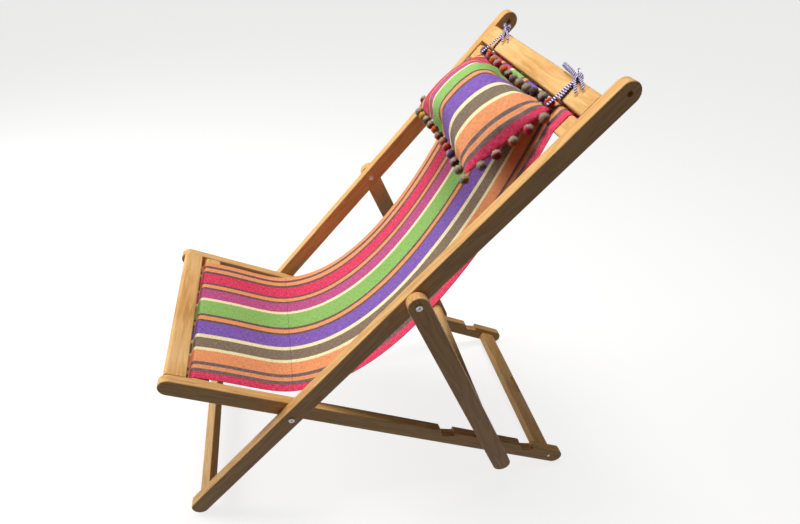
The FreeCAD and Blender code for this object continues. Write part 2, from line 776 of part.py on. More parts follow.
def pom_poms():
    group = document.addObject("Part::Compound", "pom_poms")
    group.Label = "pom_poms"
    balls = []
    for place in pom_places():
        ball = document.addObject("Part::Sphere", "ball")
        ball.setExpression("Radius", bound("pom_diameter / 2"))
        ball.Placement.Base = place
        balls.append(ball)
    group.Links = balls
    return group


def ribbon_tie(label, side):
    """A ribbon: a loop about the head rail, and a tail down to the pillow's upper corner."""
    body = new_body(label)
    middle = "(pillow_length / 2 - ribbon_from_end)"
    near, far = f"({middle} - ribbon_width / 2)", f"({middle} + ribbon_width / 2)"
    start, end, bottom, top = HEAD_RAIL
    loose, out = "cloth_play", "(cloth_play + ribbon_thick)"
    outline = sketch_on(body, "YZ_Plane", "loop", near if side > 0 else f"-{far}")
    corners = (
        (f"{start} - {out}", f"{bottom} - {out}"),
        (f"{end} + {out}", f"{bottom} - {out}"),
        (f"{end} + {out}", f"{top} + {out}"),
        (f"{start} + 3 * ribbon_thick", f"{top} + {out}"),
        (f"{PILLOW_END} - pom_sink", "pillow_lift + ribbon_thick / 2"),
        (f"{PILLOW_END} - pom_sink", "pillow_lift - ribbon_thick / 2"),
        (f"{start} - {out}", f"{top} + {loose}"),
    )
    draw_polygon(outline, corners)
    pad(body, outline, "ribbon_width")
    inside = sketch_on(body, "YZ_Plane", "inside")
    draw_rectangle(
        inside,
        f"{start} - {loose}",
        f"{end} + {loose}",
        f"{bottom} - {loose}",
        f"{top} + {loose}",
    )
    pocket(body, inside)
    return body


# ---------------------------------------------------------------- the chair


def back_frame_pieces():
    pieces = [back_rail(f"back_rail_{name}", side) for name, side in SIDES]
    pieces.append(slat("head_rail", HALF_INSIDE_BACK, HEAD_RAIL, rounded_at=HEAD_RAIL[1]))
    pieces.append(slat("top_sling_rail", HALF_INSIDE_BACK, TOP_SLING_RAIL, rounded_at=TOP_SLING_RAIL[1]))
    pieces.append(slat("foot_rail", HALF_INSIDE_BACK, FOOT_RAIL))
    pieces.append(round_bar("top_sling_dowel", *TOP_DOWEL, "dowel_diameter / 2", "dowel_length"))
    pieces.append(pivot_bolts("seat_pivot_bolts", "(back_width / 2)"))
    pieces.append(pivot_nuts("seat_pivot_nuts", f"({HALF_INSIDE_SEAT} - face_play)"))
    washer_face = f"{HALF_INSIDE_BACK} - washer_thick"
    pieces.append(pivot_washers("seat_pivot_washers", washer_face))
    pieces.append(pillow())
    pieces.append(pom_poms())
    pieces += [ribbon_tie(f"ribbon_tie_{name}", side) for name, side in SIDES]
    return pieces


def seat_frame_pieces():
    pieces = [seat_rail(f"seat_rail_{name}", side) for name, side in SIDES]
    pieces.append(slat("front_rail", HALF_INSIDE_SEAT, FRONT_RAIL, rounded_at=FRONT_RAIL[0]))
    pieces.append(
        slat("front_sling_rail", HALF_INSIDE_SEAT, FRONT_SLING_RAIL, rounded_at=FRONT_SLING_RAIL[0])
    )
    pieces.append(rear_rail())
    pieces.append(rear_rail_screws())
    pieces.append(round_bar("front_sling_dowel", *FRONT_DOWEL, "dowel_diameter / 2", "dowel_length"))
    return pieces


def prop_frame_pieces():
    pieces = [prop_leg(f"prop_leg_{name}", side) for name, side in SIDES]
    bar_length = f"2 * {HALF_INSIDE_PROP}"
    bar_sizes = ("bar_diameter / 2", bar_length, "bar_tenon / 2", "tenon_length")
    pieces.append(round_bar("prop_bar", "bar_reach", "0", *bar_sizes))
    return pieces


def prop_pivot_pieces():
    return [
        pivot_bolts("prop_pivot_bolts", f"({HALF_OUTSIDE_PROP} + face_play)"),
        pivot_nuts("prop_pivot_nuts", HALF_INSIDE_BACK),
        pivot_washers("prop_pivot_washers", "(back_width / 2)"),
    ]


def placed(pieces, placement):
    for piece in pieces:
        piece.Placement = placement
    return pieces


def check_document(pieces):
    """Stops before anything is written if an object failed or a piece isn't sound."""
    for item in document.Objects:
        if {"Invalid", "Error"} & set(item.State):
            raise RuntimeError(f"{item.Label}: {item.State}")
    for piece in pieces:
        if piece.Shape.isNull() or not piece.Shape.isValid():
            raise RuntimeError(f"{piece.Label}: no sound shape")


fill_sheet()
BACK, SEAT, PROP, PROP_PIVOT, BACK_RISE = stance()
SEAT_FALL = -math.degrees(SEAT.Rotation.Angle) * SEAT.Rotation.Axis.x

chair = placed(back_frame_pieces(), BACK)
chair += placed(seat_frame_pieces(), SEAT)
chair += placed(prop_frame_pieces(), PROP)
chair += placed(prop_pivot_pieces(), PROP_PIVOT)
chair += [sling_seat(), sling_back()]
document.recompute()
check_document(chair)

os.makedirs("parts", exist_ok=True)
for piece in chair:
    piece.Shape.exportStep(f"parts/{piece.Label}.step")
print(f"{len(chair)} parts; seat pivot {BACK.Base}, prop pivot {PROP.Base}, back rises {BACK_RISE:.3f}")
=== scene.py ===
"""A folding wooden deckchair: oiled hardwood frames, a striped canvas sling and a tied head pillow.

Metres, +Z up, the sitter faces -Y. Each frame of the chair is flat: its own axes run across the chair (X),
along its side rails away from the seat pivot, and out of the frame on the sitter's side.
"""

import bpy
import json
import math
import random
from mathutils import Matrix, Vector


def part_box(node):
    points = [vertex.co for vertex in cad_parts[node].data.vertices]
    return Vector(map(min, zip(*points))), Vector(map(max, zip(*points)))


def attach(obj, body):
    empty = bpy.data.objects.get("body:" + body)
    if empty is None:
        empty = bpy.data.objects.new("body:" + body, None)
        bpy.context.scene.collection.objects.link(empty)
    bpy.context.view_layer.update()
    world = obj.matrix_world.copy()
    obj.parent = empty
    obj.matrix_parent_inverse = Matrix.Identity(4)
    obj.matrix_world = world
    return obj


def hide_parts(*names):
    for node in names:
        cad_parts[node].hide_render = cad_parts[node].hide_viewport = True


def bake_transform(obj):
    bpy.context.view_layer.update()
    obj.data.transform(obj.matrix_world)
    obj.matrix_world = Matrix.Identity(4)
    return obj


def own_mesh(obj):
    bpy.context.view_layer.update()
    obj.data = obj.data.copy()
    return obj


MM = 0.001
ACROSS = Vector((1, 0, 0))
SHARP_EDGE = 50               # degrees from which a piece's edge isn't shaded round

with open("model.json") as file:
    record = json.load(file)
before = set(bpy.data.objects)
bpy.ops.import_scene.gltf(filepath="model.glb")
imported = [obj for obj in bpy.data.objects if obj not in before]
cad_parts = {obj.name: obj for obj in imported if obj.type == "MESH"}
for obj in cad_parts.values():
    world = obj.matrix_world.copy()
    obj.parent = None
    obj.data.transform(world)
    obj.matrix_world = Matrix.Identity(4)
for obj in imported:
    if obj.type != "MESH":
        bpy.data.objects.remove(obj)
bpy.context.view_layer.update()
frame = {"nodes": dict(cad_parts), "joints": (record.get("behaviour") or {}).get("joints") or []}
nodes = frame["nodes"]
joints = {joint["name"]: joint for joint in frame["joints"]}
SEAT_PIVOT = Vector(joints["seat_fold"]["pos_m"])
PROP_PIVOT = Vector(joints["prop_swing"]["pos_m"])


# ---------------------------------------------------------------- the flat frames


class FlatFrame:
    """A flat frame of the chair, by its pivot and a point that its side rails run towards."""

    def __init__(self, pivot, toward):
        self.pivot = pivot
        self.along = (toward - pivot).normalized()
        self.out = ACROSS.cross(self.along)
        self.tilt = math.atan2(self.along.z, self.along.y)

    def at(self, across, along, out):
        return self.pivot + ACROSS * across + self.along * along + self.out * out

    def extent(self, node):
        """A node's lowest and highest reach along the rails and out of the frame."""
        places = [vertex.co - self.pivot for vertex in nodes[node].data.vertices]
        along = [place.dot(self.along) for place in places]
        out = [place.dot(self.out) for place in places]
        return min(along), max(along), min(out), max(out)


def rear_end(node, radius):
    """The centre of a side rail's round rear end, which touches the floor."""
    low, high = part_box(node)
    return Vector((0, high[1] - radius, low[2] + radius))


SEAT_RAIL_RADIUS = 19.5 * MM
PROP_LEG_RADIUS = 20.5 * MM
BACK = FlatFrame(SEAT_PIVOT, PROP_PIVOT)
SEAT = FlatFrame(SEAT_PIVOT, rear_end("seat_rail_right", SEAT_RAIL_RADIUS))
PROP = FlatFrame(PROP_PIVOT, rear_end("prop_leg_right", PROP_LEG_RADIUS))


# ---------------------------------------------------------------- modelling helpers


def deselect():
    if bpy.context.object and bpy.context.object.mode != "OBJECT":
        bpy.ops.object.mode_set(mode="OBJECT")
    bpy.ops.object.select_all(action="DESELECT")


def work_on(piece):
    deselect()
    piece.select_set(True)
    bpy.context.view_layer.objects.active = piece


def mesh_piece(name, vertices, faces):
    mesh = bpy.data.meshes.new(name)
    mesh.from_pydata(vertices, [], faces)
    piece = bpy.data.objects.new(name, mesh)
    bpy.context.scene.collection.objects.link(piece)
    mesh.update()
    return piece


def modified(piece, kind, **settings):
    """Adds a modifier and applies it."""
    work_on(piece)
    modifier = piece.modifiers.new(kind.title(), kind)
    for name, value in settings.items():
        setattr(modifier, name, value)
    bpy.ops.object.modifier_apply(modifier=modifier.name)
    return piece


def smooth(piece, degrees=None):
    work_on(piece)
    if degrees is None:
        bpy.ops.object.shade_smooth()
    else:
        bpy.ops.object.shade_smooth_by_angle(angle=math.radians(degrees))
    return piece


def settle(piece):
    """Puts the object at the origin, with its place in its mesh."""
    work_on(piece)
    bpy.ops.object.transform_apply(location=True, rotation=True, scale=True)
    return piece


def joined(pieces, name):
    deselect()
    for piece in pieces:
        piece.select_set(True)
    bpy.context.view_layer.objects.active = pieces[0]
    bpy.ops.object.join()
    pieces[0].name = name
    return pieces[0]


def write_uv(piece, coordinates):
    """Gives the piece a UV map from one pair of metres for each vertex."""
    layer = piece.data.uv_layers.new(name="cloth")
    for loop in piece.data.loops:
        layer.data[loop.index].uv = coordinates[loop.vertex_index]


def smooth_line(points, steps):
    """A Catmull-Rom line through the points."""
    ends = [2 * points[0] - points[1]] + points + [2 * points[-1] - points[-2]]
    line = []
    for before, start, end, after in zip(ends, ends[1:], ends[2:], ends[3:]):
        for step in range(steps):
            share = step / steps
            line.append(0.5 * (
                2 * start
                + (end - before) * share
                + (2 * before - 5 * start + 4 * end - after) * share**2
                + (3 * start - before - 3 * end + after) * share**3
            ))
    return line + [points[-1]]


def lengths_along(points):
    total = 0.0
    lengths = [total]
    for start, end in zip(points, points[1:]):
        total += (end - start).length
        lengths.append(total)
    return lengths


# ---------------------------------------------------------------- materials


class Number:
    """One number of a shader, on which Python's operators add Math nodes."""

    def __init__(self, shader, socket):
        self.shader = shader
        self.socket = socket

    def math(self, operation, *others):
        return self.shader.add("ShaderNodeMath", {"operation": operation}, self, *others)

    def __add__(self, other):
        return self.math("ADD", other)

    def __sub__(self, other):
        return self.math("SUBTRACT", other)

    def __rsub__(self, other):
        return self.shader.add("ShaderNodeMath", {"operation": "SUBTRACT"}, other, self)

    def __mul__(self, other):
        return self.math("MULTIPLY", other)

    def __truediv__(self, other):
        return self.math("DIVIDE", other)

    __radd__ = __add__
    __rmul__ = __mul__


class Shader:
    """A material's node tree, built from Python."""

    def __init__(self, name):
        self.material = bpy.data.materials.new(name)
        self.material.use_nodes = True
        self.tree = self.material.node_tree
        self.surface = self.tree.nodes["Principled BSDF"]

    def add(self, kind, settings=None, *values, out=0, **named):
        """Adds a node and gives one of its outputs."""
        node = self.tree.nodes.new(kind)
        for key, value in (settings or {}).items():
            if key == "stops":
                self.set_stops(node.color_ramp, value)
            elif key == "interpolation":
                node.color_ramp.interpolation = value
            else:
                setattr(node, key, value)
        for index, value in enumerate(values):
            self.feed(node.inputs[index], value)
        for key, value in named.items():
            self.feed(node.inputs[key.replace("_", " ")], value)
        return Number(self, node.outputs[out])

    def feed(self, socket, value):
        if isinstance(value, Number):
            self.tree.links.new(value.socket, socket)
        else:
            socket.default_value = value

    def set_stops(self, ramp, stops):
        while len(ramp.elements) > 1:
            ramp.elements.remove(ramp.elements[-1])
        ramp.elements[0].position, ramp.elements[0].color = stops[0][0], (*stops[0][1], 1)
        for position, color in stops[1:]:
            ramp.elements.new(position).color = (*color, 1)

    def ramp(self, number, stops, interpolation="LINEAR"):
        return self.add("ShaderNodeValToRGB", {"stops": stops, "interpolation": interpolation}, number)

    def noise(self, place, scale, detail, roughness):
        """Noise that repeats scale times in a metre: one number, or one for each axis."""
        if isinstance(scale, tuple):
            place = self.add("ShaderNodeMapping", {}, Vector=place, Scale=scale)
            scale = 1.0
        return self.add(
            "ShaderNodeTexNoise", {}, Vector=place, Scale=scale, Detail=detail, Roughness=roughness
        )

    def object_place(self):
        return self.add("ShaderNodeTexCoord", {}, out="Object")

    def cloth_place(self):
        """The place on the cloth in metres, and its two numbers: across the cloth and along it."""
        place = self.add("ShaderNodeUVMap", {"uv_map": "cloth"})
        across = self.add("ShaderNodeSeparateXYZ", {}, place)
        return place, across, Number(self, across.socket.node.outputs[1])

    def mix(self, share, first, second):
        node = self.tree.nodes.new("ShaderNodeMix")
        node.data_type = "RGBA"
        self.feed(node.inputs[0], share)
        self.feed(node.inputs[6], first)
        self.feed(node.inputs[7], second)
        return Number(self, node.outputs[2])

    def bump(self, height, strength, distance):
        return self.add("ShaderNodeBump", {}, Strength=strength, Distance=distance, Height=height)

    def finish(self, **sockets):
        for key, value in sockets.items():
            self.feed(self.surface.inputs[key.replace("_", " ")], value)
        return self.material


def linear(code):
    """A colour from its six-digit sRGB code."""
    parts = [int(code[i:i + 2], 16) / 255 for i in (0, 2, 4)]
    return tuple(p / 12.92 if p < 0.04045 else ((p + 0.055) / 1.055) ** 2.4 for p in parts)


WOOD_PALE = linear("F0C890")
WOOD_MIDDLE = linear("E3B372")
WOOD_DARK = linear("C28B4F")
WOOD_PORE = linear("80552F")
# how often each pattern of the wood repeats in a metre, across the grain and along it
FIGURE_SCALE = (26, 2.2)
FIBRE_SCALE = (900, 16)
PORE_SCALE = (1500, 60)
BOARD_SCALE = (5, 0.8, 5)     # the tone's slow change, which is the same along and across
RINGS_IN_FIGURE = 9.0
GRAIN_DEPTH = 0.4 * MM
BLACK, WHITE = (0, 0, 0), (1, 1, 1)


def hardwood(name, tilt, lengthwise):
    """Oiled hardwood with its grain across the chair, or along the rails of a frame at that tilt."""
    shader = Shader(name)
    turn = {"rotation_type": "X_AXIS"}
    place = shader.add("ShaderNodeVectorRotate", turn, Vector=shader.object_place(), Angle=-tilt)

    def grain(scale, detail, roughness):
        cross, along = scale
        scale = (cross, along, cross) if lengthwise else (along, cross, cross)
        return shader.noise(place, scale, detail, roughness)

    figure = grain(FIGURE_SCALE, 3.0, 0.55)
    rings = (figure * RINGS_IN_FIGURE).math("FRACT")
    rings = shader.ramp(rings, [(0.0, BLACK), (0.75, WHITE), (1.0, BLACK)])
    fibre = grain(FIBRE_SCALE, 3.0, 0.6)
    pores = grain(PORE_SCALE, 1.0, 0.5)
    pores = shader.ramp(pores, [(0.60, BLACK), (0.70, WHITE)])
    board = shader.noise(place, BOARD_SCALE, 2.0, 0.5)
    tone = board * 0.75 + rings * 0.16 + fibre * 0.32 - 0.1
    color = shader.ramp(tone, [(0.28, WOOD_DARK), (0.50, WOOD_MIDDLE), (0.72, WOOD_PALE)])
    color = shader.mix(pores * 0.25, color, (*WOOD_PORE, 1))
    height = fibre * 0.6 + rings * 0.15 - pores * 0.6
    return shader.finish(
        Base_Color=color,
        Roughness=fibre * 0.16 + 0.42,
        Specular_IOR_Level=0.25,
        Normal=shader.bump(height, 0.35, GRAIN_DEPTH),
    )


STEEL_SCUFF_SCALE = 900.0
STEEL_STAIN_SCALE = 160.0
SCUFF_DEPTH = 0.1 * MM


def plated_steel():
    """Zinc-plated fastenings, lightly scuffed."""
    shader = Shader("plated_steel")
    place = shader.object_place()
    scuffs = shader.noise(place, STEEL_SCUFF_SCALE, 4.0, 0.7)
    stain = shader.noise(place, STEEL_STAIN_SCALE, 2.0, 0.5)
    color = shader.ramp(stain, [(0.35, linear("C4C2BE")), (0.65, linear("E6E4E0"))])
    return shader.finish(
        Base_Color=color,
        Metallic=0.55,
        Roughness=scuffs * 0.3 + 0.24,
        Normal=shader.bump(scuffs, 0.15, SCUFF_DEPTH),
    )


YARNS = {
    "orange": linear("F29C66"),
    "umber": linear("6B5052"),
    "crimson": linear("E2305F"),
    "magenta": linear("C04C8B"),
    "cream": linear("FBF0BE"),
    "green": linear("8DC063"),
    "violet": linear("7F58B8"),
    "taupe": linear("83725F"),
    "slate": linear("6F5F60"),
}
# the cloth's warp from its left edge, in millimetres; the sling stops short of the last stripe's full width
STRIPES = (
    ("orange", 17), ("umber", 9), ("orange", 16), ("umber", 8), ("crimson", 41), ("umber", 7),
    ("orange", 13), ("umber", 8), ("magenta", 36), ("cream", 10), ("green", 52), ("umber", 8),
    ("orange", 12), ("umber", 8), ("violet", 45), ("cream", 10), ("taupe", 34), ("cream", 9),
    ("orange", 36), ("slate", 9), ("orange", 12), ("slate", 9), ("crimson", 80),
)
WARP_WIDTH = sum(width for _, width in STRIPES) * MM
# how often each pattern of the canvas repeats in a metre, across the cloth and along it
THREAD_SCALE = (700, 700, 1)
WARP_SLUB_SCALE = (900, 110, 1)
WEFT_SLUB_SCALE = (100, 800, 1)
WEAR_SCALE = (14, 14, 1)
THREAD_WANDER = 0.9 * MM      # how far a stripe's edge strays from one thread to the next
CLOTH_WANDER = 1.6 * MM       # and how far it strays slowly along the cloth
THREAD_PITCH = 0.9 * MM
STITCH_PITCH = 4.2 * MM
STITCH_SHARE = 0.7            # the visible part of a stitch, as a share of the pitch
STITCH_HALF_WIDTH = 0.5 * MM
CREASE_HALF_WIDTH = 1.5 * MM
WEAVE_DEPTH = 0.35 * MM
SLUB_PALE = linear("F5DCD0")
SLUB_DARK = linear("3A2A30")
STITCH_THREAD = linear("C9A8A8")
# painted shade: the colour that darkens the cloth along the sling's crease
CREASE_PAINTED_SHADE = linear("4A3034")


def wave(place, pitch):
    """A sine that repeats at that pitch."""
    return (place * (2 * math.pi / pitch)).math("SINE")


def stripe_stops():
    stops = []
    reached = 0.0
    for yarn, width in STRIPES:
        stops.append((reached * MM / WARP_WIDTH, YARNS[yarn]))
        reached += width
    return stops


def canvas(name, hem_stitches=(), crease=False):
    """Striped canvas, with painted shade and a dent along the crease when asked. The UV map holds metres
    across the warp and along it, from the crease.
    """
    shader = Shader(name)
    place, across, along = shader.cloth_place()
    threads = shader.noise(place, THREAD_SCALE, 1.0, 0.5)
    warp_slub = shader.noise(place, WARP_SLUB_SCALE, 3.0, 0.6)
    weft_slub = shader.noise(place, WEFT_SLUB_SCALE, 3.0, 0.6)
    worn = shader.noise(place, WEAR_SCALE, 3.0, 0.5)
    wander = (threads - 0.5) * THREAD_WANDER + (worn - 0.5) * CLOTH_WANDER
    color = shader.ramp((across + wander) / WARP_WIDTH, stripe_stops(), "CONSTANT")
    pale = (warp_slub + weft_slub - 1.0).math("MAXIMUM", 0.0) * 0.8
    dark = (1.0 - warp_slub - weft_slub).math("MAXIMUM", 0.0) * 1.6 + (0.5 - worn) * 0.18
    color = shader.mix(pale.math("MINIMUM", 0.6), color, (*SLUB_PALE, 1))
    color = shader.mix(dark.math("MAXIMUM", 0.0), color, (*SLUB_DARK, 1))
    height = wave(across, THREAD_PITCH) * wave(along, THREAD_PITCH) * 0.25 + warp_slub * 0.5 + weft_slub * 0.5
    for stitch_line in hem_stitches:
        beside = (across - stitch_line).math("ABSOLUTE").math("LESS_THAN", STITCH_HALF_WIDTH)
        stitched = beside * (along * (1 / STITCH_PITCH)).math("FRACT").math("LESS_THAN", STITCH_SHARE)
        color = shader.mix(stitched * 0.25, color, (*STITCH_THREAD, 1))
        height = height - beside * 0.8 + stitched * 1.0
    if crease:
        # painted shade along the crease: the cloth darkens towards the fold line, which is also dented in the
        # bump
        crease_shade_and_dent = 1.0 - (along.math("ABSOLUTE") / CREASE_HALF_WIDTH).math("MINIMUM", 1.0)
        color = shader.mix(crease_shade_and_dent * 0.4, color, (*CREASE_PAINTED_SHADE, 1))
        height = height - crease_shade_and_dent * 1.5
    return shader.finish(
        Base_Color=color,
        Roughness=0.9 - warp_slub * 0.12,
        Sheen_Weight=0.06,
        Sheen_Roughness=0.5,
        Specular_IOR_Level=0.15,
        Normal=shader.bump(height, 0.5, WEAVE_DEPTH),
    )


YARN_SHADOW = linear("241A18")
FLUFF_SCALE = 1600.0
FLUFF_DEPTH = 0.6 * MM


def yarn():
    """Cut wool, in the colours that each pom-pom's attribute holds."""
    shader = Shader("pom_yarn")
    color = shader.add("ShaderNodeAttribute", {"attribute_name": "yarn_colour"}, out="Color")
    fluff = shader.noise(shader.object_place(), FLUFF_SCALE, 2.0, 0.6)
    color = shader.mix((0.55 - fluff).math("MAXIMUM", 0.0) * 1.8, color, (*YARN_SHADOW, 1))
    return shader.finish(
        Base_Color=color,
        Roughness=0.95,
        Sheen_Weight=0.1,
        Specular_IOR_Level=0.1,
        Normal=shader.bump(fluff, 0.6, FLUFF_DEPTH),
    )


RIBBON_STRIPE = 4.4 * MM
RIBBON_VIOLET_SHARE = 0.66
RIBBON_RIB = 0.6 * MM
RIBBON_FIBRE_SCALE = (2500, 600, 1)
RIBBON_DEPTH = 0.2 * MM
RIBBON_PALE = linear("F1ECFA")
RIBBON_VIOLET = linear("39287F")
RIBBON_SHADOW = linear("2A2150")


def ribbon_weave():
    """Grosgrain ribbon, pale with violet bars across it."""
    shader = Shader("ribbon_weave")
    place, _, along = shader.cloth_place()
    bars = (along / RIBBON_STRIPE).math("FRACT").math("LESS_THAN", RIBBON_VIOLET_SHARE)
    fibre = shader.noise(place, RIBBON_FIBRE_SCALE, 2.0, 0.5)
    color = shader.mix(bars, (*RIBBON_PALE, 1), (*RIBBON_VIOLET, 1))
    color = shader.mix((0.5 - fibre).math("MAXIMUM", 0.0), color, (*RIBBON_SHADOW, 1))
    return shader.finish(
        Base_Color=color,
        Roughness=0.6,
        Sheen_Weight=0.3,
        Normal=shader.bump(wave(along, RIBBON_RIB) * 0.5 + fibre, 0.4, RIBBON_DEPTH),
    )


def dress_frames():
    """Gives every node that shows as it is its finish, with the grain along each piece."""
    finishes = {
        hardwood("back_rail_wood", BACK.tilt, True): ("back_rail_left", "back_rail_right"),
        hardwood("seat_rail_wood", SEAT.tilt, True): ("seat_rail_left", "seat_rail_right"),
        hardwood("prop_leg_wood", PROP.tilt, True): ("prop_leg_left", "prop_leg_right"),
        hardwood("back_slat_wood", BACK.tilt, False): (
            "head_rail", "top_sling_rail", "foot_rail", "top_sling_dowel",
        ),
        hardwood("seat_slat_wood", SEAT.tilt, False): (
            "front_rail", "front_sling_rail", "rear_rail", "front_sling_dowel",
        ),
        hardwood("prop_bar_wood", PROP.tilt, False): ("prop_bar",),
        plated_steel(): (
            "seat_pivot_bolts", "seat_pivot_nuts", "seat_pivot_washers", "prop_pivot_bolts",
            "prop_pivot_nuts", "prop_pivot_washers", "rear_rail_screws",
        ),
    }
    for finish, names in finishes.items():
        for name in names:
            for material_slot in nodes[name].material_slots:
                material_slot.material = finish


# ---------------------------------------------------------------- the sling

SLING_HALF_WIDTH = 215 * MM
SLING_SHIFT = 8 * MM           # the cloth hangs a little towards the chair's right side
CLOTH_THICK = 1.2 * MM
CLOTH_MIDDLE = 1.05 * MM       # from the wood to the middle of the cloth that lies on it
ROUND_EDGE = 8 * MM
ARRIS = 2.5 * MM
FRONT_SLOPE = math.radians(16.5)
BACK_SLOPE = math.radians(70)
CREASE_BEHIND = 8 * MM
CREASE_OVER = 33 * MM
SLING_COLUMNS = 86
HEM_WIDTH = 12 * MM
# the cloth's rows: the steps of its turn round a dowel, of those round a slat's edges, and of its free spans
DOWEL_TURN = -255             # degrees at which the cloth's end lies, from along the frame
DOWEL_STEPS = 40
EDGE_STEPS = 10
ARRIS_STEPS = 4
FLAT_SHARES = (0.25, 0.45, 0.65)        # rows on the flat of the top sling rail, as shares of its width
FRONT_SPAN_STEPS = 34
BACK_SPAN_STEPS = 110
# how hard each free span is pulled straight at its start and at its end, as shares of its chord
FRONT_PULLS = (0.5, 0.25)
BACK_PULLS = (0.245, 0.46)
# rows before and after the crease, whose points the sling's build picks out but doesn't use
TURN_BEFORE = 16
TURN_AFTER = 22
# the cloth's unevenness in its free span, in millimetres
EDGE_DROOP = 4.0
WAVE_HEIGHT = 0.9
RIPPLE_HEIGHT = 0.35


def arc(flat, centre, reach, start, end, steps):
    """Points round a centre, between angles in degrees from along the frame towards out of it."""
    points = []
    for step in range(steps + 1):
        angle = math.radians(start + (end - start) * step / steps)
        points.append(flat.at(0, centre[0] + reach * math.cos(angle), centre[1] + reach * math.sin(angle)))
    return points


def free_span(start, start_heading, end, end_heading, pulls, steps):
    """The cloth's free curve between two points."""
    chord = (end - start).length
    first = start + start_heading * (pulls[0] * chord)
    second = end - end_heading * (pulls[1] * chord)
    points = []
    for step in range(1, steps):
        t = step / steps
        points.append(
            start * (1 - t) ** 3
            + first * (3 * t * (1 - t) ** 2)
            + second * (3 * t * t * (1 - t))
            + end * t**3
        )
    return points


def heading(slope):
    """A direction in the side view, by its rise towards the rear."""
    return Vector((0, math.cos(slope), math.sin(slope)))


def dowel_turn(flat, dowel, start, end):
    """The cloth round a dowel."""
    low, high, bottom, top = flat.extent(dowel)
    centre = ((low + high) / 2, (bottom + top) / 2)
    return arc(flat, centre, (high - low) / 2 + CLOTH_MIDDLE, start, end, DOWEL_STEPS)


def front_path():
    """The cloth from its hem round the front dowel, over the front sling rail."""
    start, _, _, top = SEAT.extent("front_sling_rail")
    corner = (start + ROUND_EDGE, top - ROUND_EDGE)
    reach = ROUND_EDGE + CLOTH_MIDDLE
    leaving = math.degrees(-FRONT_SLOPE - SEAT.tilt)
    path = dowel_turn(SEAT, "front_sling_dowel", DOWEL_TURN, 90)
    path += arc(SEAT, corner, reach, 180, 90 + leaving, EDGE_STEPS)
    return path


def back_path():
    """The cloth from the top sling rail's lower edge, over it and round the top dowel."""
    low, high, _, top = BACK.extent("top_sling_rail")
    arriving = math.degrees(BACK_SLOPE - BACK.tilt)
    path = arc(BACK, (low + ARRIS, top - ARRIS), ARRIS + CLOTH_MIDDLE, 90 + arriving, 90, ARRIS_STEPS)
    path += [BACK.at(0, low + (high - low) * share, top + CLOTH_MIDDLE) for share in FLAT_SHARES]
    corner = (high - ROUND_EDGE, top - ROUND_EDGE)
    path += arc(BACK, corner, ROUND_EDGE + CLOTH_MIDDLE, 90, 0, EDGE_STEPS)
    path += dowel_turn(BACK, "top_sling_dowel", 90, DOWEL_TURN)
    return path


def sling_path():
    """The cloth's middle line from hem to hem, and the crease's place on it."""
    crease = SEAT_PIVOT + Vector((0, CREASE_BEHIND, CREASE_OVER))
    front, back = front_path(), back_path()
    level = heading(0)
    front += free_span(front[-1], heading(-FRONT_SLOPE), crease, level, FRONT_PULLS, FRONT_SPAN_STEPS)
    rear = free_span(crease, level, back[0], heading(BACK_SLOPE), BACK_PULLS, BACK_SPAN_STEPS)
    return front + [crease] + rear + back, len(front)


def sling_dip(share_across, length, span):
    """How far the cloth hangs below its middle line: soft waves, and edges that droop in the free span."""
    free = max(0.0, math.sin(math.pi * min(max(length / span, 0.0), 1.0)))
    droop = EDGE_DROOP * abs(share_across) ** 6 * free
    waves = WAVE_HEIGHT * math.sin(9.1 * share_across + 3.0 * length / span) * free
    ripple = RIPPLE_HEIGHT * math.sin(31 * share_across + 17 * length / span + 1.3) * free
    return (droop + waves + ripple) * MM


def make_sling():
    path, crease_index = sling_path()
    lengths = lengths_along(path)
    crease_length = lengths[crease_index]
    span_start = lengths[DOWEL_STEPS + EDGE_STEPS]
    span_end = lengths[-(len(FLAT_SHARES) + EDGE_STEPS + 1 + DOWEL_STEPS + 1)]
    vertices, uvs = [], []
    for row, point in enumerate(path):
        before, after = path[max(row - 1, 0)], path[min(row + 1, len(path) - 1)]
        up = ACROSS.cross(after - before).normalized()
        for column in range(SLING_COLUMNS + 1):
            share = 2 * column / SLING_COLUMNS - 1
            dip = sling_dip(share, lengths[row] - span_start, span_end - span_start)
            across = share * SLING_HALF_WIDTH + SLING_SHIFT
            vertices.append(point + ACROSS * across - up * dip)
            uvs.append(((share + 1) * SLING_HALF_WIDTH, lengths[row] - crease_length))
    faces = []
    for row in range(len(path) - 1):
        for column in range(SLING_COLUMNS):
            corner = row * (SLING_COLUMNS + 1) + column
            faces.append((corner, corner + 1, corner + SLING_COLUMNS + 2, corner + SLING_COLUMNS + 1))
    sling = mesh_piece("sling", vertices, faces)
    write_uv(sling, uvs)
    modified(sling, "SOLIDIFY", thickness=CLOTH_THICK, offset=0)
    smooth(sling, SHARP_EDGE)
    stitches = (HEM_WIDTH, 2 * SLING_HALF_WIDTH - HEM_WIDTH)
    sling.data.materials.append(canvas("sling_canvas", stitches, crease=True))
    turn_start, turn_end = path[crease_index - TURN_BEFORE], path[crease_index + TURN_AFTER]
    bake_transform(sling)
    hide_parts("sling_seat", "sling_back")


# ---------------------------------------------------------------- the pillow

PILLOW_FLAT = (424 * MM, 200 * MM)
PILLOW_CELL = 5 * MM
COVER_GAP = 2 * MM            # from the seam's plane to each flat layer
SWELLING_STEPS = 20
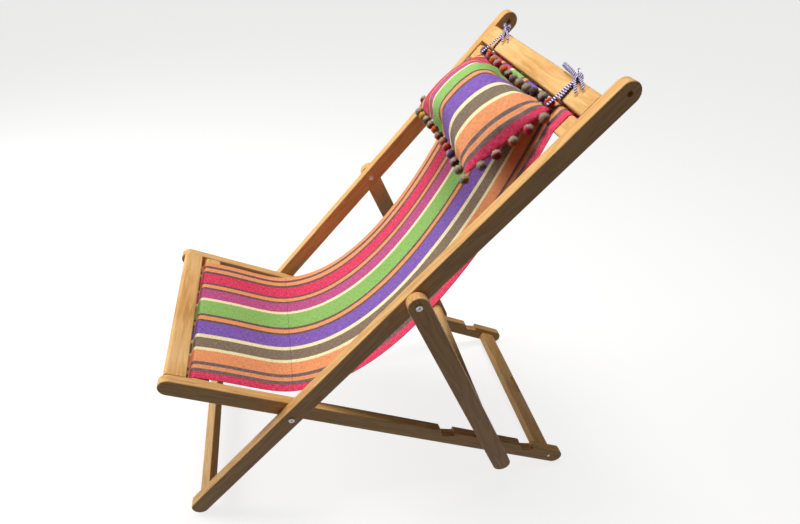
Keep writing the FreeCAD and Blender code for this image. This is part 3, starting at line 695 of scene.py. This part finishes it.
# the simulated cover: thick cloth that hardly stretches, and the air in it
COVER_CLOTH = {
    "quality": 6,
    "mass": 0.3,
    "tension_stiffness": 80,
    "compression_stiffness": 40,
    "shear_stiffness": 8,
    "bending_stiffness": 3,
    "use_pressure": True,
    "uniform_pressure_force": 4,
}
PILLOW_WAIST = 0.9                # the long seams' distance half-way along, as a share of that at the corners
PILLOW_WARP_START = 4 * MM        # the pillow's cloth is cut this far from the sling cloth's left edge
PILLOW_LENGTH, PILLOW_WIDTH = 372 * MM, 171 * MM
PILLOW_FRONT, PILLOW_REAR = 64 * MM, 36 * MM    # how far each side swells from the seam
PILLOW_CROWN = 0.55               # the filling's height near the long seams, as a share of an air-filled one
PILLOW_ALONG = 666 * MM
PILLOW_OUT = 41 * MM
PILLOW_TILT = math.radians(-10)
POM_COUNT = 34
POM_RADIUS = 10 * MM


def flat_cover():
    """Two layers of cloth that share their outline, a hair apart so that air can swell them."""
    columns, rows = (round(side / PILLOW_CELL) for side in PILLOW_FLAT)
    vertices, uvs, index = [], [], {}
    for layer in (1, -1):
        for row in range(rows + 1):
            for column in range(columns + 1):
                rim = row in (0, rows) or column in (0, columns)
                key = (column, row, 0 if rim else layer)
                if key in index:
                    continue
                across = (column / columns - 0.5) * PILLOW_FLAT[0]
                along = (row / rows - 0.5) * PILLOW_FLAT[1]
                index[key] = len(vertices)
                vertices.append(Vector((across, along, 0 if rim else layer * COVER_GAP)))
                uvs.append((across + PILLOW_FLAT[0] / 2 + PILLOW_WARP_START, along + 0.5))
    faces = []
    for layer in (1, -1):
        for row in range(rows):
            for column in range(columns):
                corners = ((column, row), (column + 1, row), (column + 1, row + 1), (column, row + 1))
                face = [index.get((*corner, 0), index.get((*corner, layer))) for corner in corners]
                faces.append(face if layer > 0 else face[::-1])
    rim = [(column, 0) for column in range(columns)]
    rim += [(columns, row) for row in range(rows)]
    rim += [(column, rows) for column in range(columns, 0, -1)]
    rim += [(0, row) for row in range(rows, 0, -1)]
    return vertices, uvs, faces, [index[(*corner, 0)] for corner in rim]


def blow_up(piece):
    """Fills the flat cover with air by cloth simulation and keeps the result."""
    work_on(piece)
    cloth = piece.modifiers.new("Cloth", "CLOTH")
    for setting, value in COVER_CLOTH.items():
        setattr(cloth.settings, setting, value)
    cloth.settings.effector_weights.gravity = 0
    cloth.point_cache.frame_start = 1
    cloth.point_cache.frame_end = SWELLING_STEPS
    for step in range(1, SWELLING_STEPS + 1):
        bpy.context.scene.frame_set(step)
    bpy.ops.object.modifier_apply(modifier=cloth.name)
    bpy.context.scene.frame_set(1)


def even_waist(piece, rim):
    """Lets the long seams out where the swelling has drawn them in, so that they bow in only a little."""
    places = [vertex.co for vertex in piece.data.vertices]
    half_length = max(abs(place.x) for place in places)
    half_width = max(abs(place.y) for place in places)
    columns = 1 + round(PILLOW_FLAT[0] / PILLOW_CELL)
    seam = [(places[index].x / half_length, abs(places[index].y) / half_width) for index in rim[:columns]]
    for place in places:
        across = place.x / half_length
        nearest = sorted(seam, key=lambda point: abs(point[0] - across))[:2]
        drawn_in = (nearest[0][1] + nearest[1][1]) / 2
        wanted = PILLOW_WAIST + (1 - PILLOW_WAIST) * across**2
        place.y *= wanted / drawn_in


def place_pillow(piece):
    """Brings the swollen cover to its size and lays it on the back frame."""
    places = [vertex.co for vertex in piece.data.vertices]
    half_length, half_width, swell = (max(abs(place[axis]) for place in places) for axis in range(3))
    cosine, sine = math.cos(PILLOW_TILT), math.sin(PILLOW_TILT)
    for vertex in piece.data.vertices:
        across = vertex.co.x * PILLOW_LENGTH / 2 / half_length
        along = vertex.co.y * PILLOW_WIDTH / 2 / half_width
        crown = PILLOW_CROWN + (1 - PILLOW_CROWN) * (1 - (vertex.co.y / half_width) ** 2)
        out = crown * vertex.co.z / swell * (PILLOW_FRONT if vertex.co.z > 0 else PILLOW_REAR)
        along, out = along * cosine - out * sine, along * sine + out * cosine
        vertex.co = BACK.at(across, PILLOW_ALONG + along, PILLOW_OUT + out)
    piece.data.update()


def make_pillow():
    vertices, uvs, faces, rim = flat_cover()
    pillow = mesh_piece("pillow_cover", vertices, faces)
    write_uv(pillow, uvs)
    blow_up(pillow)
    even_waist(pillow, rim)
    place_pillow(pillow)
    seam = [pillow.data.vertices[index].co.copy() for index in rim]
    modified(pillow, "SUBSURF", levels=1, render_levels=1)
    smooth(pillow)
    pillow.data.materials.append(canvas("pillow_canvas"))
    BACK.at(0, PILLOW_ALONG, 100 * MM)
    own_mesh(pillow)
    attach(pillow, "back_frame")
    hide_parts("pillow")
    return seam


# ---------------------------------------------------------------- the pom-poms

POM_CORE = 0.62                # the core's radius and the tufts' length, as shares of the pom-pom's radius
POM_TUFT = 0.34
POM_TIPS = 0.8                 # beyond this share of the radius a vertex is a tuft's tip
SEAM_DEPTH = 2 * MM            # how far a pom-pom is drawn into the seam
ACCENT_LEAN = Vector((0.7, -0.1, -0.5))       # the way that the accent yarn faces more often than not
POM_GREY = linear("B7A793")
POM_ACCENTS = [linear(code) for code in (
    "B7A793", "DC3F36", "F0702E", "EFAE2C", "77609C", "D6455A", "8C8176", "5C4A44", "EE7A3A", "A22C3C",
)]


def yarn_ball():
    """One pom-pom at the origin: a core with a pointed tuft drawn out of every face."""
    deselect()
    bpy.ops.mesh.primitive_ico_sphere_add(subdivisions=3, radius=POM_CORE * POM_RADIUS)
    ball = bpy.context.object
    bpy.ops.object.mode_set(mode="EDIT")
    bpy.ops.mesh.select_all(action="SELECT")
    bpy.ops.mesh.extrude_faces_move(TRANSFORM_OT_shrink_fatten={"value": POM_TUFT * POM_RADIUS})
    bpy.ops.mesh.merge(type="COLLAPSE")
    bpy.ops.object.mode_set(mode="OBJECT")
    return ball


def dyed(ball, accent, side, draw):
    """Colours a pom-pom's vertices: grey, with the accent yarn on one side."""
    colours = ball.data.attributes.new("yarn_colour", "FLOAT_COLOR", "POINT")
    for vertex in ball.data.vertices:
        facing = vertex.co.normalized().dot(side) + draw.uniform(-0.25, 0.25)
        base = accent if facing > -0.05 else POM_GREY
        shade = draw.uniform(0.75, 1.2)
        colours.data[vertex.index].color = (*(channel * shade for channel in base), 1)


def ruffled(ball, draw):
    """Moves every tip a little, so that no two pom-poms are alike."""
    for vertex in ball.data.vertices:
        far = vertex.co.length
        if far > POM_TIPS * POM_RADIUS:
            nudge = Vector(draw.gauss(0, 0.06 * POM_RADIUS) for _ in range(3))
            vertex.co = (vertex.co + nudge) * draw.uniform(0.88, 1.06)


def along_seam(seam):
    """Where the pom-poms are sewn, evenly by the stitches: the place, and the seam's run there."""
    found = []
    for number in range(POM_COUNT):
        stitch = round((number + 0.5) * len(seam) / POM_COUNT)
        before, after = seam[stitch - 2], seam[(stitch + 2) % len(seam)]
        found.append((seam[stitch], after - before))
    return found


def make_pom_poms(seam):
    draw = random.Random(41)
    first = yarn_ball()
    balls = []
    centre = sum(seam, Vector()) / len(seam)
    for number, (place, run) in enumerate(along_seam(seam)):
        ball = first.copy()
        ball.data = first.data.copy()
        bpy.context.scene.collection.objects.link(ball)
        ruffled(ball, draw)
        side = (Vector(draw.uniform(-1, 1) for _ in range(3)) + ACCENT_LEAN).normalized()
        dyed(ball, POM_ACCENTS[number * 3 % len(POM_ACCENTS)], side, draw)
        square = run.cross(BACK.out).normalized()
        square = square if square.dot(place - centre) > 0 else -square
        hang = square * (POM_RADIUS - SEAM_DEPTH) - BACK.out * draw.uniform(0, 3) * MM
        ball.data.transform(Matrix.Translation(place + hang))
        balls.append(ball)
    bpy.data.objects.remove(first)
    trim = joined(balls, "pom_trim")
    smooth(trim)
    trim.data.materials.append(yarn())
    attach(trim, "back_frame")
    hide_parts("pom_poms")


# ---------------------------------------------------------------- the ribbon ties

RIBBON_WIDTH = 8 * MM
RIBBON_THICK = 0.7 * MM
LOOP_WIDTH = 5 * MM            # the ribbon is folded lengthwise in a bow
LINE_STEPS = 6                 # steps between two of a ribbon's points
KNOT_SIZE = (11 * MM, 9 * MM, 8 * MM)


def ribbon_strip(name, points, breadth, width=RIBBON_WIDTH):
    """A ribbon along a line, extruded step by step from one short edge that lies along breadth."""
    line = smooth_line(points, LINE_STEPS)
    side = breadth.normalized() * (width / 2)
    deselect()
    bpy.ops.mesh.primitive_plane_add(size=width, location=line[0])
    strip = bpy.context.object
    strip.name = name
    settle(strip)
    mesh = strip.data
    mesh.vertices[0].co, mesh.vertices[1].co = line[0] - side, line[0] + side
    mesh.vertices[2].co, mesh.vertices[3].co = line[1] - side, line[1] + side
    bpy.ops.object.mode_set(mode="EDIT")
    bpy.ops.mesh.select_mode(type="VERT")
    bpy.ops.mesh.select_all(action="DESELECT")
    bpy.ops.object.mode_set(mode="OBJECT")
    mesh.vertices[2].select = mesh.vertices[3].select = True
    bpy.ops.object.mode_set(mode="EDIT")
    for start, end in zip(line[1:], line[2:]):
        bpy.ops.mesh.extrude_region_move(TRANSFORM_OT_translate={"value": end - start})
    bpy.ops.object.mode_set(mode="OBJECT")
    lengths = lengths_along(line)
    write_uv(strip, [(vertex.index % 2 * width, lengths[vertex.index // 2]) for vertex in mesh.vertices])
    modified(strip, "SOLIDIFY", thickness=RIBBON_THICK, offset=0)
    return smooth(strip, SHARP_EDGE)


def knot(name, place):
    """The small lump where a bow is tied: a block rounded off."""
    deselect()
    bpy.ops.mesh.primitive_cube_add(size=1, location=place)
    lump = bpy.context.object
    lump.name = name
    lump.scale = KNOT_SIZE
    lump.rotation_euler = (BACK.tilt, 0, 0)
    settle(lump)
    bpy.ops.object.mode_set(mode="EDIT")
    bpy.ops.mesh.select_all(action="SELECT")
    bpy.ops.mesh.subdivide(number_cuts=2, smoothness=0.8)
    bpy.ops.object.mode_set(mode="OBJECT")
    modified(lump, "SUBSURF", levels=2, render_levels=2)
    offsets = [vertex.co - place for vertex in lump.data.vertices]
    write_uv(lump, [(offset.dot(BACK.along), offset.x) for offset in offsets])
    return smooth(lump)


def rail_band():
    """Points of the ribbon's turn round the head rail, in the back frame's axes."""
    start, end, bottom, top = BACK.extent("head_rail")
    loose = 1.0 * MM
    round_corner = 6 * MM
    return [
        (end - 4 * MM, top + loose),
        (end + loose - 2 * MM, top - round_corner),
        (end + loose, bottom + round_corner),
        (end - round_corner, bottom - loose), ((start + end) / 2, bottom - loose),
        (start + 3 * MM, bottom - loose), (start - loose, bottom + 4 * MM), (start - loose, top - 4 * MM),
        (start + 3 * MM, top + loose), ((start + end) / 2, top + loose), (end - 5 * MM, top + loose + 1 * MM),
    ]


def make_ribbon(name, node, side, bows, finish):
    """One tie: a strap from the pillow's corner, a turn round the head rail and a bow of loops and tails."""
    low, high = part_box(node)
    across = (low[0] + high[0]) / 2
    start, end, _, top = BACK.extent("head_rail")
    at_knot = BACK.at(across, end - 1 * MM, top + 4 * MM)
    corner = BACK.at(across + side * 4 * MM, PILLOW_ALONG + PILLOW_WIDTH / 2 - 3 * MM, PILLOW_OUT - 9 * MM)
    strap = [corner, corner.lerp(at_knot, 0.35), corner.lerp(at_knot, 0.7), at_knot]
    pieces = [
        ribbon_strip(name, strap, ACROSS),
        ribbon_strip(f"{name}_band", [BACK.at(across, *place) for place in rail_band()], ACROSS),
        knot(f"{name}_knot", at_knot),
    ]
    for number, (points, breadth) in enumerate(bows):
        line = [at_knot + BACK.at(*(value * MM for value in point)) - BACK.pivot for point in points]
        pieces.append(ribbon_strip(f"{name}_bow_{number}", line, BACK.at(*breadth) - BACK.pivot, LOOP_WIDTH))
    tie = joined(pieces, name)
    tie.data.materials.clear()
    tie.data.materials.append(finish)
    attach(tie, "back_frame")
    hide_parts(node)


# each bow's loops and tails from its knot, in millimetres across, along and out, and the ribbon's breadth
RIGHT_BOW = (
    (
        ((0, 0, 0), (-18, 3, 6), (-40, 5, 7), (-58, 6, 5), (-61, 4, 2), (-40, 2, 2), (-18, 1, 1), (0, 0, 0)),
        (0, 1, 0.3),
    ),
    (((0, 0, 0), (8, 4, 8), (18, 4, 8), (22, 0, 4), (12, -1, 2), (0, 0, 1)), (0, 1, 0.3)),
    (((0, 0, 1), (10, 2, 6), (24, -2, 5), (37, -9, 1)), (0.2, 1, 0.1)),
    (((0, 0, 1), (7, -6, 6), (18, -12, 5), (29, -19, 1)), (0.5, 1, 0)),
    (((0, 0, 1), (2, 5, 7), (-3, 9, 9), (-6, 12, 6)), (1, 0, 0.3)),
)
LEFT_BOW = (
    (((0, 0, 0), (-8, 6, 8), (-14, 9, 8), (-15, 8, 3), (-8, 4, 1), (0, 0, 1)), (0.6, 1, 0)),
    (((0, 0, 0), (8, 7, 8), (16, 10, 9), (19, 7, 4), (10, 2, 2), (0, 0, 1)), (0.4, 1, 0.3)),
    (((0, 0, 1), (12, 0, 6), (26, -4, 5), (38, -11, 1)), (0.3, 1, 0)),
    (((0, 0, 1), (9, -6, 5), (17, -13, 4), (24, -20, 1)), (0.6, 1, 0)),
)


# ---------------------------------------------------------------- studio

CAMERA_PLACE = Vector((1.0776, -0.1828, 1.1686))
CAMERA_AZIMUTH = math.radians(80.716)
CAMERA_ELEVATION = math.radians(38.833)
CAMERA_ROLL = math.radians(1.111)
CAMERA_LENS = 25.42
CAMERA_SENSOR = 36
CAMERA_SHIFT = (0.0408, 0.0816)
FLOOR_SIZE = 14
FLOOR_DROP = 0.5 * MM          # keeps the floor clear of the feet
FLOOR_GREY = (0.3, 0.3, 0.3, 1)
FLOOR_GLOW = 0.8
FILL_COLOR = (1.0, 0.93, 0.82, 1)
FILL_STRENGTH = 0.09
BACKDROP_GREY = (0.86, 0.86, 0.86, 1)      # what only the camera sees past the floor
LAMP_WHITE = (1.0, 0.99, 0.97)
# each lamp's name, place, target, width and power
LAMPS = (
    ("overhead", (-0.5, -0.2, 2.9), (0, 0, 0.4), 1.2, 50),
    ("front_soft", (-0.8, -2.4, 1.9), (0, 0, 0.4), 1.4, 38),
    ("front_low", (-0.9, -2.6, 0.8), (0, 0.2, 0.1), 1.2, 20),
)


def make_camera():
    forward = Vector((
        -math.sin(CAMERA_AZIMUTH) * math.cos(CAMERA_ELEVATION),
        math.cos(CAMERA_AZIMUTH) * math.cos(CAMERA_ELEVATION),
        -math.sin(CAMERA_ELEVATION),
    ))
    level = forward.cross(Vector((0, 0, 1))).normalized()
    upward = level.cross(forward)
    right = level * math.cos(CAMERA_ROLL) + upward * math.sin(CAMERA_ROLL)
    turn = Matrix((right, right.cross(forward), -forward)).transposed()
    camera = bpy.data.objects.new("camera", bpy.data.cameras.new("camera"))
    bpy.context.scene.collection.objects.link(camera)
    camera.matrix_world = Matrix.Translation(CAMERA_PLACE) @ turn.to_4x4()
    camera.data.lens = CAMERA_LENS
    camera.data.sensor_width = CAMERA_SENSOR
    camera.data.shift_x, camera.data.shift_y = CAMERA_SHIFT
    bpy.context.scene.camera = camera


def area_light(name, place, target, size, power):
    light = bpy.data.objects.new(name, bpy.data.lights.new(name, "AREA"))
    bpy.context.scene.collection.objects.link(light)
    light.location = place
    light.rotation_euler = (Vector(target) - Vector(place)).to_track_quat("-Z", "Y").to_euler()
    light.data.shape = "DISK"
    light.data.size = size
    light.data.energy = power
    light.data.color = LAMP_WHITE


def make_floor():
    bpy.ops.mesh.primitive_plane_add(size=FLOOR_SIZE, location=(0, 0, -FLOOR_DROP))
    floor = bpy.context.object
    floor.name = "floor"
    paper = Shader("floor_paper")
    floor.data.materials.append(paper.finish(
        Base_Color=FLOOR_GREY,
        Roughness=1.0,
        Specular_IOR_Level=0.0,
        Emission_Color=(1, 1, 1, 1),
        Emission_Strength=FLOOR_GLOW,
    ))
    floor.visible_diffuse = False


def make_world():
    """A faint warm fill, and a pale backdrop for the camera alone."""
    world = bpy.data.worlds.new("studio")
    bpy.context.scene.world = world
    world.use_nodes = True
    fill = world.node_tree.nodes["Background"]
    fill.inputs["Color"].default_value = FILL_COLOR
    fill.inputs["Strength"].default_value = FILL_STRENGTH
    backdrop = world.node_tree.nodes.new("ShaderNodeBackground")
    backdrop.inputs["Color"].default_value = BACKDROP_GREY
    seen = world.node_tree.nodes.new("ShaderNodeLightPath")
    either = world.node_tree.nodes.new("ShaderNodeMixShader")
    links = world.node_tree.links
    links.new(seen.outputs["Is Camera Ray"], either.inputs["Fac"])
    links.new(fill.outputs["Background"], either.inputs[1])
    links.new(backdrop.outputs["Background"], either.inputs[2])
    links.new(either.outputs["Shader"], world.node_tree.nodes["World Output"].inputs["Surface"])


def make_studio():
    make_floor()
    make_world()
    for lamp in LAMPS:
        area_light(*lamp)
    bpy.context.scene.view_settings.view_transform = "Standard"


# ---------------------------------------------------------------- the chair

make_camera()
dress_frames()
make_sling()
pillow_seam = make_pillow()
make_pom_poms(pillow_seam)
ribbon_finish = ribbon_weave()
make_ribbon("ribbon_right", "ribbon_tie_right", 1, RIGHT_BOW, ribbon_finish)
make_ribbon("ribbon_left", "ribbon_tie_left", -1, LEFT_BOW, ribbon_finish)
make_studio()
